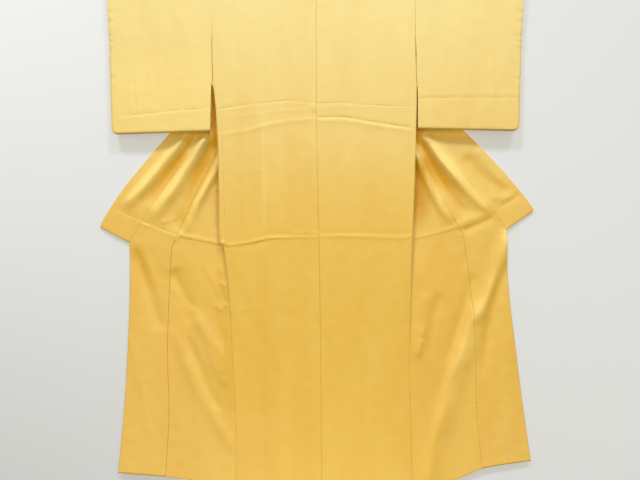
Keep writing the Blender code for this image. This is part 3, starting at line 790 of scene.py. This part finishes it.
def woven_silk():
    """Yellow satin crepe with a cloud figure, paler at the shoulders and deeper at the hem, partly
    its own dye and partly painted light that falls off down the garment.
    """
    finish, place, shader = start_material("yellow_silk")
    z = place.part(2)
    drop = SHOULDER_Z - z
    # Down the garment: the dye's own change and painted light, brightest at the shoulders
    shade = (drop / 1.64).ramp(
        (0.00, colour(234, 222, 153)),
        (0.22, colour(233, 213, 136)),
        (0.45, colour(226, 192, 89)),
        (0.70, colour(225, 187, 84)),
        (1.00, colour(241, 205, 107)), curve="B_SPLINE")
    cloudy = place.stretched(9.0, 9.0, 2.2).noise(1.0, 3.0)
    patchy = place.noise(14.0, 4.0)
    stripes = place.stretched(12.0, 12.0, 1.0).noise(1.0, 2.0)
    shade = shade.mixed(PALE, patchy.between(0.50, 0.90) * 0.14)
    lower = drop.between(0.15, 0.80)
    shade = shade.mixed(DEEP, cloudy.between(0.40, 0.85) * (lower * 0.12 + 0.09))
    shade = shade.mixed(DEEP, stripes.between(0.35, 0.70) * (lower * 0.11 + 0.03))
    facing_room = (0 - place.part(1)).between(0.006, 0.010) * drop.between(0.5, 0.8)
    shade = shade.mixed(GREENISH, facing_room * 0.22)

    flat = place.add("UVMap", {"uv_map": "cloth"})
    slubs = flat.stretched(5.0, 170.0, 1.0).noise(1.0, 3.0, 0.6)
    threads = flat.stretched(260.0, 4.0, 1.0).noise(1.0, 3.0, 0.6)
    crepe = flat.stretched(330.0, 420.0, 1.0).noise(1.0, 2.0, 0.6)
    shade = shade.mixed(DEEP, slubs.between(0.30, 0.75) * 0.06)
    shade = shade.mixed(DEEP, threads.between(0.30, 0.75) * 0.06)
    shade = shade.mixed(DEEP, crepe.between(0.35, 0.65) * 0.10)

    # Painted shade and bounced light in folds, slits, beside low seams and under the sleeves, and
    # painted highlights where folds face the light
    hollow = place.attribute("hollow")
    glow = place.attribute("glow").ramp(
        (UNDER_SLEEVE, colour(255, 228, 96)),
        (IN_SLIT, colour(255, 192, 20)),
        (ON_FLANK, colour(222, 168, 32)),
        (IN_FOLD, colour(204, 148, 6)))
    shade = shade.mixed(glow, hollow.between(0.0, 1.0) * 0.92)
    shade = shade.mixed(PALE, (0 - hollow).between(0.0, 1.0) * 0.50)

    inside = 1 - place.attribute("cloud").between(-0.0040, 0.0030)
    slant = place.part(0) * 0.574 - z * 0.819
    lines = (slant * (2 * math.pi / CLOUD_LINE_GAP)).sine() * 0.5 + 0.5
    shade = shade.mixed(PALE, inside * 0.13)
    shade = shade.mixed(DEEP, inside * lines * 0.32)

    # Pressed lines: painted shade in each crease and a painted highlight just below it
    above = place.attribute("above_line")
    strength = place.attribute("line_strength")
    painted_crease_shade = (1 - above.absolute().between(0.0003, 0.0024)) * strength
    painted_lip_highlight = (1 - (above + 0.0048).absolute().between(0.0006, 0.0036)) * strength
    shade = shade.mixed(DARK, painted_crease_shade)
    shade = shade.mixed(PALE, painted_lip_highlight * 0.5)
    shade = shade.mixed(DARK, (1 - place.attribute("seam").between(0.0004, SEAM_GONE)) * 0.55)

    warp = (flat.part(0) * (2 * math.pi / WARP_GAP)).sine()
    weft = (flat.part(1) * (2 * math.pi / WEFT_GAP)).sine()
    weave = warp * weft * 0.5 + place.noise(620.0, 2.0) + slubs * 1.2 + threads * 0.8
    woven = place.bump(weave, 0.40, 0.00012)
    crumpled = place.bump(place.noise(24.0, 4.0, 0.55), 0.6, 0.0016, Normal=woven)
    relief = place.bump(inside * (lines + 0.6), 0.5, 0.0002, Normal=crumpled)
    finish_material(shader, Base_Color=shade, Roughness=0.40 + cloudy * 0.14, Normal=relief,
                    Sheen_Weight=0.06, Sheen_Roughness=0.35, Sheen_Tint=colour(255, 226, 150),
                    Specular_IOR_Level=0.5)
    return finish


SILK = woven_silk()


def make_of(piece, material):
    """Gives a piece its one material."""
    piece.data.materials.clear()
    piece.data.materials.append(material)


def finish_cloth(piece, node, **sheet_facts):
    """Gives a cloth piece its silk, its cloud figure and its painted fold shade, bounced light and
    highlights, and puts it under the root in place of its part.
    """
    mesh = piece.data
    x, y, z = read_triples(mesh.vertices, "co").T
    drop = SHOULDER_Z - z
    to_wall = read_triples(mesh.vertex_normals, "vector")[:, 1]
    above, strength = pressed_distance(x, drop)
    hollow, glow = painted_light_and_shade(x, y, drop, to_wall, node.startswith("sleeve"))
    for name, values in (("cloud", cloud_distance(x, drop)), ("above_line", above),
                         ("line_strength", strength), ("hollow", hollow), ("glow", glow)):
        keep_values(mesh, name, values)
    make_of(piece, SILK)
    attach(piece, "root")
    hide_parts(node)


def sleeve_seam_line(drop):
    """Where the line of the sleeve's seam starts: further down, the seam stands a little open."""
    return np.where(drop < SLEEVE_SEAM_GAPES, SEAM_FAINT, SEAM_GAPING)


def gore_seam_line(side, drop):
    """Where the line of the gore's seam starts."""
    return np.where(drop < GORE_SEAM_LOW, SEAM_CLEAR, side["low_gore_seam"])


# The stretches of each half that have the finest creases
BUSY_BACK = ((0.37, 0.50), (0.78, 0.86))
BUSY_FRONT = ((0.48, 0.85),)

# The columns from the side edge to the neck, and those from there to the centre back seam
wide = columns_over(BESIDE_NECK, 58)
narrow = columns_over(NECK_HALF_WIDTH, 20)[4:]
narrow = narrow - narrow[0] + 0.004
back_drops = rows_between(LENGTH, ROD_DROP, BUSY_BACK)[:, None]
front_drops = rows_between(ROD_DROP, LENGTH, BUSY_FRONT)[1:, None]
for side_name, side in SIDES.items():
    back = back_net(side, (wide, narrow), back_drops)
    over = over_rod(back[-1], CLOTH_ROUND_ROD, WRAP_STEPS + 1)
    front = front_net(side, wide, front_drops)
    front = np.concatenate([front, np.repeat(front[:, -1:], len(narrow), axis=1)], axis=1)
    net = turned_hem(np.concatenate([back, over, front]), side["sign"])
    cloth_of = np.ones(net.shape[:2], dtype=bool)
    neck_rows = HEM_ROWS + int((back_drops[:, 0] >= NECK_DROP).sum()) - 1
    cloth_of[neck_rows:, len(wide) - 1:] = False
    drop = SHOULDER_Z - net[:, 0, 2]
    on_back = np.arange(len(drop)) < HEM_ROWS + len(back_drops)
    side_seam = np.where(drop < SLEEVE_SEAM_DROP, sleeve_seam_line(drop),
                         np.where(on_back | (drop > SIDE_SEAM_FLAT), SEAM_GONE, SEAM_GAPING))
    other_seam = np.where(on_back, np.where(drop < GORE_SEAM_LOW, SEAM_FAINT, SEAM_GONE),
                          gore_seam_line(side, drop))
    piece = cut_and_sew("silk_body_" + side_name, net, (side_seam, other_seam), cloth_of)
    finish_cloth(piece, "body_" + side_name, flat=(0.300, 3.28), held="hung",
                 rests_on=["rod"])

# Front gores: a long strip each, 15 cm wide at the hem and cut to a point at the top, sewn to
# the front all the way down.

OKUMI_TIP_DROP = 0.220
GORE_WIDTH = 0.15


def front_edge_depth(drop):
    """How far the gore's front edge hangs from the rod's middle plane."""
    return gore_seam_depth(drop) + 0.004 * ease((drop - OKUMI_TIP_DROP) / 0.35)


for side_name, side in SIDES.items():
    drop = rows_between(OKUMI_TIP_DROP, LENGTH, BUSY_FRONT)[:, None]
    share = columns_over(GORE_WIDTH, 40) / GORE_WIDTH
    seam = line(side, "gore", drop)
    edge = line(side, "edge", drop)
    out = seam + (edge - seam) * share
    x = side["sign"] * out
    y = gore_seam_depth(drop) + (front_edge_depth(drop) - gore_seam_depth(drop)) * share
    lift = front_folds(x, drop) - fan_set_back(side, drop)
    lift += at_seam(out - seam, drop, 31) + at_seam(edge - out, drop, 32, 0.0003)
    net = hang(x, y - lift, drop)
    collar_seam_line = np.where(drop[:, 0] < side["collar_end"], SEAM_CLEAR, NO_SEAM)
    piece = cut_and_sew("silk_gore_" + side_name, net,
                        (gore_seam_line(side, drop[:, 0]), collar_seam_line))
    finish_cloth(piece, "okumi_" + side_name, flat=(0.150, 1.41), area=0.185, held="hung",
                 rests_on=["body_" + side_name])

# Sleeves: one length each, folded over the rod, open at the wrist, and closed along the bottom
# and the lower outer edge, whose corner is rounded. The inner edge is open below the body.

SLEEVE_DROP = 0.48
SLEEVE_WIDTH = 0.318
SLEEVE_REACH = 0.628
SLEEVE_CORNER = 0.020
SLEEVE_FOLD = 0.006
WRIST_OPEN_TO = 0.10
WRIST_SHUT_FROM = 0.23
BUSY_SLEEVE = ((0.36, 0.45),)
SLIT_DROPS = (0.087, 0.210, 0.240, 0.285, 0.320, 0.345, 0.480)
SLEEVE_CREASES = (
    (-0.7, -0.5, 5, 5, (-600, 434), (-532, 428), (-433, 416), (-325, 410)),
    (0.4, 0.4, 5, 9, (-600, 445), (-532, 438), (-433, 425), (-325, 420)),
    (-0.6, -0.5, 5, 5, (312, 381), (450, 377), (629, 378)),
    (0.4, 0.4, 9, 5, (312, 372), (450, 368), (629, 369)),
    (1.6, 1, 7, 7, (-566, 341), (-564, 386), (-560, 441)),
    (1.3, 0.8, 7, 7, (-545, 350), (-543, 401), (-538, 447)),
    (0.8, 0.6, 9, 9, (-507, 295), (-509, 371)),
    (1.2, 0.9, 9, 9, (534, 265), (543, 386), (545, 462)),
    (0.5, 0.5, 9, 9, (-470, 60), (-473, 250), (-470, 440)),
    (0.4, 0.4, 9, 9, (475, 60), (470, 250), (474, 440)),
)
WRIST_PUCKER_DROPS = (0.125, 0.153, 0.195, 0.212, 0.230, 0.245, 0.322)
WRIST_PUCKER_DEPTH = 0.0019
WRIST_NOTCH = 0.0022


def sleeve_face(side, columns, drop, facing):
    """One face of a sleeve from its top down. Its facing is -1 to the viewer, 1 to the wall."""
    across = columns / columns[-1]
    hem = side["sleeve_inner_hem"] + (side["sleeve_outer_hem"] - side["sleeve_inner_hem"]) * across
    drop = drop * hem / SLEEVE_DROP
    rest = np.clip((hem - drop) / SLEEVE_FOLD, 0, 1)
    half = back_depth(drop) * np.sqrt(1 - (1 - rest) ** 2)
    inner = follow(SLIT_DROPS, side["slit"], drop)
    out = inner + (SLEEVE_REACH - inner) * across
    from_edge = SLEEVE_REACH - out
    shut = np.sqrt(1 - np.clip(1 - from_edge / SLEEVE_FOLD, 0, 1) ** 2)
    closed = ease((drop - WRIST_OPEN_TO) / (WRIST_SHUT_FROM - WRIST_OPEN_TO))
    half = half * (1 - (1 - shut) * closed)
    x = side["sign"] * out
    lift = creased(x, drop, SLEEVE_CREASES) if facing < 0 else 0.0
    lift = lift + drape(x, drop, 7 if facing < 0 else 8, 0.0013)
    lift -= 0.0004 * np.clip(1 - (out - inner) / 0.004, 0, 1) ** 2 * ease((0.22 - drop) / 0.02)
    for height in WRIST_PUCKER_DROPS:
        lift -= WRIST_PUCKER_DEPTH * np.exp(-(from_edge / 0.018) ** 2 - ((drop - height) / 0.0045) ** 2)
    lift *= np.clip(half / 0.008, 0, 1) * ease(drop / 0.04)
    for height in WRIST_PUCKER_DROPS:
        out = out - WRIST_NOTCH * np.exp(-(from_edge / 0.006) ** 2 - ((drop - height) / 0.004) ** 2)
    u = np.clip(1 - from_edge / SLEEVE_CORNER, 0, 1)
    v = np.clip(1 - (hem - drop) / SLEEVE_CORNER, 0, 1)
    rounded = (u > 0) & (v > 0)
    out = np.where(rounded, out + SLEEVE_CORNER * (u * np.sqrt(1 - v * v / 2) - u), out)
    drop = np.where(rounded, drop + SLEEVE_CORNER * (v * np.sqrt(1 - u * u / 2) - v), drop)
    return np.stack([side["sign"] * out, facing * (half + lift), SHOULDER_Z - drop], axis=-1)


for side_name, side in SIDES.items():
    columns = columns_over(SLEEVE_WIDTH, 68)
    turn = np.linspace(0, 1, 6)[1:] * math.pi / 2
    straight = SLEEVE_DROP - SLEEVE_FOLD
    bottom = straight + SLEEVE_FOLD * np.sin(turn)
    drop = np.concatenate([rows_between(ROD_DROP, straight, BUSY_SLEEVE), bottom])
    to_viewer = sleeve_face(side, columns, drop[:, None], -1)
    to_wall = sleeve_face(side, columns, drop[:, None], 1)
    over = over_rod(to_viewer[0], -to_viewer[0, :, 1], WRAP_STEPS)
    net = np.concatenate([to_viewer[::-1], over, to_wall])
    drop = SHOULDER_Z - net[:, 0, 2]
    inner_seam_line = np.where(drop < SLEEVE_SEAM_DROP, sleeve_seam_line(drop), NO_SEAM)
    piece = cut_and_sew("silk_sleeve_" + side_name, net,
                        (inner_seam_line, np.full(len(drop), NO_SEAM)))
    finish_cloth(piece, "sleeve_" + side_name, flat=(0.320, 0.980), held="hung",
                 rests_on=["rod"])

# Collar: one long strip of the same silk, sewn round the neck and down both fronts. It is
# folded in half behind the neck, and opened out to its full width at both ends.

COLLAR_FULL_WIDTH = 0.110
COLLAR_NECK_WIDTH = 0.055
COLLAR_LAYER_GAP = 0.0035
COLLAR_LAP = 0.0095
COLLAR_OVER_FRONT = 0.0018
COLLAR_AT_NECK = -0.0151
COLLAR_STANDS_OUT = 0.62
COLLAR_STANDS_UP = 0.78
COLLAR_END_ROLL = 0.0016

# Stations of the strip round the neck: out, y and drop of its seam, and the way from there to
# its folded edge as out, y and up
NECK_STATIONS = (
    (0.0000, COLLAR_AT_NECK, 0.0300, 0.00, 0.00, 1.00),
    (0.0300, COLLAR_AT_NECK, 0.0300, 0.00, 0.00, 1.00),
    (0.0550, COLLAR_AT_NECK, 0.0298, 0.00, 0.00, 1.00),
    (0.0720, COLLAR_AT_NECK, 0.0285, 0.05, 0.00, 1.00),
    (0.0830, -0.0147, 0.0205, 0.12, 0.00, 0.99),
    (0.0888, -0.0122, 0.0040, 0.22, 0.00, 0.97),
    (0.0912, -0.0058, -0.0022, 0.32, 0.00, 0.95),
    (0.0925, 0.0035, -0.0028, 0.42, 0.02, 0.91),
    (0.0930, 0.0112, 0.0020, 0.50, 0.05, 0.86),
    (0.0930, 0.0152, 0.0140, 0.58, 0.08, 0.80),
)


def collar_seam(side, drop):
    """A point of the collar's seam: along the neck and the front, then along the gore's edge."""
    if drop < OKUMI_TIP_DROP:
        out, y = line(side, "gore", drop), gore_seam_depth(drop)
    else:
        out, y = line(side, "edge", drop), front_edge_depth(drop)
    return np.array([out, y + COLLAR_OVER_FRONT * (1 - ease((drop - 0.27) / 0.2)), drop])


def collar_station(side, drop):
    """The strip's place at a drop below the neck, standing square to its seam."""
    point = collar_seam(side, drop)
    ahead = collar_seam(side, min(drop + 0.01, side["collar_end"])) - collar_seam(side, drop - 0.01)
    square = np.array([ahead[2], ahead[0]]) / math.hypot(ahead[0], ahead[2])
    standing = 1 - ease((drop - 0.01) / 0.10)
    to_out = square[0] * (1 - standing) + COLLAR_STANDS_OUT * standing
    to_up = square[1] * (1 - standing) + COLLAR_STANDS_UP * standing
    opened = ease((drop - 0.1) / 0.75) * 0.55 + ease((drop - 0.25) / 0.5) * 0.45
    width = COLLAR_NECK_WIDTH + (COLLAR_FULL_WIDTH - COLLAR_NECK_WIDTH) * opened
    width -= side["collar_slim"] * math.exp(-((drop - 0.64) / 0.10) ** 2)
    width -= 0.004 * max(0.0, 1 - (side["collar_end"] - drop) / 0.012) ** 2
    return (*point, to_out, 0.05 + 0.03 * standing, to_up, width)


def collar_section(width):
    """The strip from its seam to its folded edge, round that and back behind: how far out and
    how far in each column lies for each width, and how far from the seam on the outside."""
    radius = COLLAR_LAYER_GAP / 2
    turned = np.minimum(np.maximum(COLLAR_FULL_WIDTH - width, 0.010), width - radius - COLLAR_LAP)
    flat = width - radius
    outside = columns_over(1.0, 24)[:21]
    outside = outside / outside[-1]
    bend = np.radians((30, 60, 90, 120, 150, 180))
    behind = np.linspace(0, 1, 9)[1:]
    forward = np.concatenate([flat * outside, flat + radius * np.sin(bend), flat - turned * behind],
                             axis=1)
    inward = np.concatenate([0 * outside, radius * (1 - np.cos(bend)), 0 * behind + 2 * radius])
    from_seam = np.ones(forward.shape)
    from_seam[:, :len(outside)] = flat * outside
    return forward, inward, from_seam


def collar_half(side):
    """A net of the strip, from the middle of the back of the neck to the end of one front."""
    last = side["collar_end"]
    last_drops = last - np.array((0.012, 0.006, 0.0))
    drops = np.concatenate([np.arange(0.03, last - 0.02, 0.045), last_drops])
    stations = np.array([(*station, COLLAR_NECK_WIDTH) for station in NECK_STATIONS]
                        + [collar_station(side, drop) for drop in drops])
    gone = np.concatenate([[0], np.cumsum(np.linalg.norm(np.diff(stations[:, :3], axis=0), axis=1))])
    last_rows = gone[-1] - np.array((0.0022, 0.0010, 0.0))
    at = np.concatenate([rows_between(0.0, gone[-1], ())[:-1], last_rows])
    out, y, drop, to_out, to_y, to_up, width = (follow(gone, stations[:, i], at) for i in range(7))
    sign = side["sign"]
    seam = np.stack([sign * out, y, SHOULDER_Z - drop], axis=-1)
    to_edge = unit(np.stack([sign * to_out, to_y, to_up], axis=-1))
    inside = unit(np.cross(unit(np.gradient(seam, axis=0)), to_edge)) * -sign
    forward, inward, from_seam = collar_section(width[:, None])
    net = (seam[:, None] + to_edge[:, None] * forward[..., None]
           + inside[:, None] * inward[None, :, None])
    x, drop = net[..., 0], SHOULDER_Z - net[..., 2]
    lift = front_folds(x, drop, ease((drop - 0.3) / 0.2)) - fan_set_back(side, drop)
    from_end = (at[-1] - at)[:, None]
    lift -= COLLAR_END_ROLL * np.clip(1 - from_end / 0.004, 0, 1) ** 2
    lift += at_seam(from_seam, at[:, None], 41) * ease((drop - 0.1) / 0.1)
    net[..., 1] -= lift
    return net


left_collar = collar_half(SIDES["left"])
right_collar = collar_half(SIDES["right"])
net = np.concatenate([left_collar[::-1], right_collar[1:]])
piece = cut_and_sew("silk_collar", net, (np.full(len(net), SEAM_CLEAR), np.full(len(net), NO_SEAM)))
finish_cloth(piece, "collar", flat=(0.110, 2.12), held="hung",
             rests_on=["body_left", "body_right"])

# Rod: a plain round stick of pale wood with softened ends. It carries the garment's shoulders.

ROD_RADIUS = 0.010
ROD_HALF_LENGTH = 0.655
ROD_END_ROUNDING = 0.0028


def pale_wood():
    """Light straight-grained softwood, rubbed smooth, with its end grain darker."""
    finish, place, shader = start_material("pale_wood")
    waves = place.stretched(0.35, 14.0, 14.0, moved=(0.0, 0.013, 0.094)).noise(9.0, 3.0, 0.55)
    streaks = place.stretched(8.0, 900.0, 900.0).noise(1.0, 3.0, 0.6)
    grain = (waves * 34.0).sine() * 0.5 + 0.5
    at_end = place.part(0).absolute().between(ROD_HALF_LENGTH - 0.0030, ROD_HALF_LENGTH - 0.0004)
    shade = (grain * 0.55 + streaks * 0.35).from_to(colour(214, 183, 141), colour(178, 137, 92))
    shade = shade.mixed(colour(150, 110, 70), at_end * 0.6)
    finish_material(shader, Base_Color=shade, Roughness=0.42 + streaks * 0.22,
                    Normal=place.bump(streaks + grain * 0.3, 0.4, 0.0002), Specular_IOR_Level=0.4)
    return finish


bpy.ops.object.select_all(action="DESELECT")
bpy.ops.mesh.primitive_cylinder_add(vertices=64, radius=ROD_RADIUS, depth=2 * ROD_HALF_LENGTH,
                                    location=(0, 0, SHOULDER_Z - ROD_DROP),
                                    rotation=(0, math.pi / 2, 0))
rod = bpy.context.object
rod.name = "hanging_rod"
bpy.ops.object.transform_apply(location=True, rotation=True, scale=True)
rounding = rod.modifiers.new("softened_ends", "BEVEL")
rounding.width = ROD_END_ROUNDING
rounding.segments = 4
rounding.limit_method = "ANGLE"
bpy.ops.object.modifier_apply(modifier=rounding.name)
bpy.ops.object.shade_smooth_by_angle(angle=math.radians(40))
make_of(rod, pale_wood())
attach(rod, "root")
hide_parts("rod")

# Hook: a bent steel wire, turned into the middle of the rod. Its inside top is what a nail or
# peg carries.

HOOK_WIRE_RADIUS = 0.0025
HOOK_LOOP_RADIUS = 0.022
HOOK_TIP_TAPER = (0.45, 0.80, 0.96)


def drawn_steel():
    """Plain drawn wire, with fine marks along it and a dull patch where it has been handled."""
    finish, place, shader = start_material("drawn_steel")
    handled = place.noise(70.0, 3.0)
    dulled = handled.between(0.35, 0.75) * 0.6
    finish_material(shader, Base_Color=dulled.from_to(colour(205, 205, 203), colour(160, 158, 154)),
                    Roughness=0.24 + handled * 0.22, Metallic=1.0,
                    Normal=place.bump(place.noise(1400.0, 2.0), 0.25, 0.00005))
    return finish


foot = SHOULDER_Z - ROD_DROP + ROD_RADIUS
loop_middle = -HOOK_LOOP_RADIUS + HOOK_WIRE_RADIUS
points = [(0, foot - 0.003), (0, foot + 0.012), (0, foot + 0.024), (0.0004, foot + 0.034),
          (0.003, loop_middle - 1.50 * HOOK_LOOP_RADIUS),
          (0.010, loop_middle - 1.10 * HOOK_LOOP_RADIUS)]
for degrees in range(-45, 226, 15):
    turn = math.radians(degrees)
    points.append((HOOK_LOOP_RADIUS * math.cos(turn), loop_middle + HOOK_LOOP_RADIUS * math.sin(turn)))
points = np.array(points)
gone = np.concatenate([[0], np.cumsum(np.hypot(*np.diff(points, axis=0).T))])
at = np.linspace(0, gone[-1], 90)
bend_x = follow(gone, points[:, 0], at)
bend_z = follow(gone, points[:, 1], at)
wire = bpy.data.curves.new("hook_wire", "CURVE")
wire.dimensions = "3D"
wire.bevel_depth = HOOK_WIRE_RADIUS
wire.bevel_resolution = 5
wire.use_fill_caps = True
run = wire.splines.new("POLY")
run.points.add(len(at) - 1)
for point, across, up in zip(run.points, bend_x, bend_z):
    point.co = (across, 0.0, up, 1.0)
for point, share in zip(reversed(run.points), HOOK_TIP_TAPER):
    point.radius = share
hook_curve = bpy.data.objects.new("hook_wire", wire)
scene.collection.objects.link(hook_curve)
bpy.ops.object.select_all(action="DESELECT")
hook_curve.select_set(True)
bpy.context.view_layer.objects.active = hook_curve
bpy.ops.object.convert(target="MESH")
hook = bpy.context.object
hook.name = "steel_hook"
bpy.ops.object.shade_smooth_by_angle(angle=math.radians(50))
make_of(hook, drawn_steel())
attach(hook, "root")
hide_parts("hook")

# Floor, light and the pale room around. The floor fades out into the room.

bpy.ops.object.select_all(action="DESELECT")
bpy.ops.mesh.primitive_circle_add(vertices=96, radius=0.8, fill_type="NGON",
                                  location=(0, 0, -1.95))
floor = bpy.context.object
floor.name = "floor"
finish, place, shader = start_material("pale_floor")
away = (place.part(0) * place.part(0) + place.part(1) * place.part(1)).root()
finish_material(shader, Base_Color=colour(180, 190, 216), Roughness=0.8,
                Alpha=1 - away.between(0.25, 0.75))
make_of(floor, finish)

# The white wall close behind, for the shadows on it. It is seen only from the front, and it
# fades out into the room. Its colour is painted lighter towards the top and the left, and it
# glows a little: painted light that makes the shadows on it paler.

bpy.ops.object.select_all(action="DESELECT")
bpy.ops.mesh.primitive_plane_add(size=4.0, location=(0, 0.042, -0.8),
                                 rotation=(math.pi / 2, 0, 0))
backdrop = bpy.context.object
backdrop.name = "wall"
backdrop.visible_diffuse = False
backdrop.visible_glossy = False
backdrop.visible_transmission = False
backdrop.visible_shadow = False
finish, place, shader = start_material("white_wall")
across, up = place.part(0), place.part(1)
away = (across * across + up * up).root()
behind = place.add("NewGeometry", output=6)
painted_wall_light = ((up + 0.15) / 0.75) * (0.5 - across * 0.5) * 0.40 + 0.58
finish_material(shader, Base_Color=painted_wall_light.from_to(colour(155, 159, 164), colour(184, 189, 195)),
                Emission_Color=painted_wall_light.from_to(colour(202, 202, 200), colour(235, 236, 235)),
                Alpha=(1 - away.between(1.25, 1.75)) * (1 - behind), Roughness=0.9,
                Specular_IOR_Level=0.1, Emission_Strength=0.43)
make_of(backdrop, finish)


def soft_lamp(name, place, aim, width, height, watts, tint):
    """A large soft lamp that looks at a point."""
    lamp = bpy.data.lights.new(name, "AREA")
    lamp.shape = "RECTANGLE"
    lamp.size = width
    lamp.size_y = height
    lamp.energy = watts
    lamp.color = tint
    holder = bpy.data.objects.new(name, lamp)
    holder.location = place
    holder.rotation_euler = (Vector(aim) - Vector(place)).to_track_quat("-Z", "Y").to_euler()
    scene.collection.objects.link(holder)


DAYLIGHT = (0.92, 0.98, 1.18)
soft_lamp("front_left", (-1.7, -4.7, 5.0), (0, 0, -0.7), 1.0, 1.0, 190, DAYLIGHT)
soft_lamp("front_right", (1.7, -4.6, 4.9), (0, 0, -0.7), 1.0, 1.0, 145, DAYLIGHT)
soft_lamp("front_fill", (0, -5.0, -0.2), (0, 0, -0.8), 3.4, 3.0, 82, (1.0, 0.93, 0.78))
soft_lamp("wall_side", (1.8, 3.2, 1.4), (0, 0, -0.8), 2.4, 2.4, 60, (1.0, 0.99, 0.98))

room = bpy.data.worlds.new("pale_room")
room.use_nodes = True
scene.world = room
way = Thread(room.node_tree).add("TexCoord", output=0)
across, up = way.part(0), way.part(2)
seen = way.add("LightPath", output=0)
# Seen straight by the camera, the room has painted shade: darker low down, at the upper right and at
# the lower left
wall = ((up + 0.40) / 0.56).ramp(
    (0.00, colour(209, 209, 205)),
    (0.50, colour(224, 225, 220)),
    (1.00, colour(235, 235, 232)))
wall = wall.mixed(colour(190, 190, 186), (across * (up + 0.117) * 2.0).between(0.0, 0.5))
warm_light = (1.0, 0.86, 0.54, 1.0)
ceiling = (up * 0.52 + 0.46).at_least(0.06)
finish_material(room.node_tree.nodes["Background"], Color=seen.from_to(warm_light, wall),
                Strength=ceiling * (1 - seen) + seen)
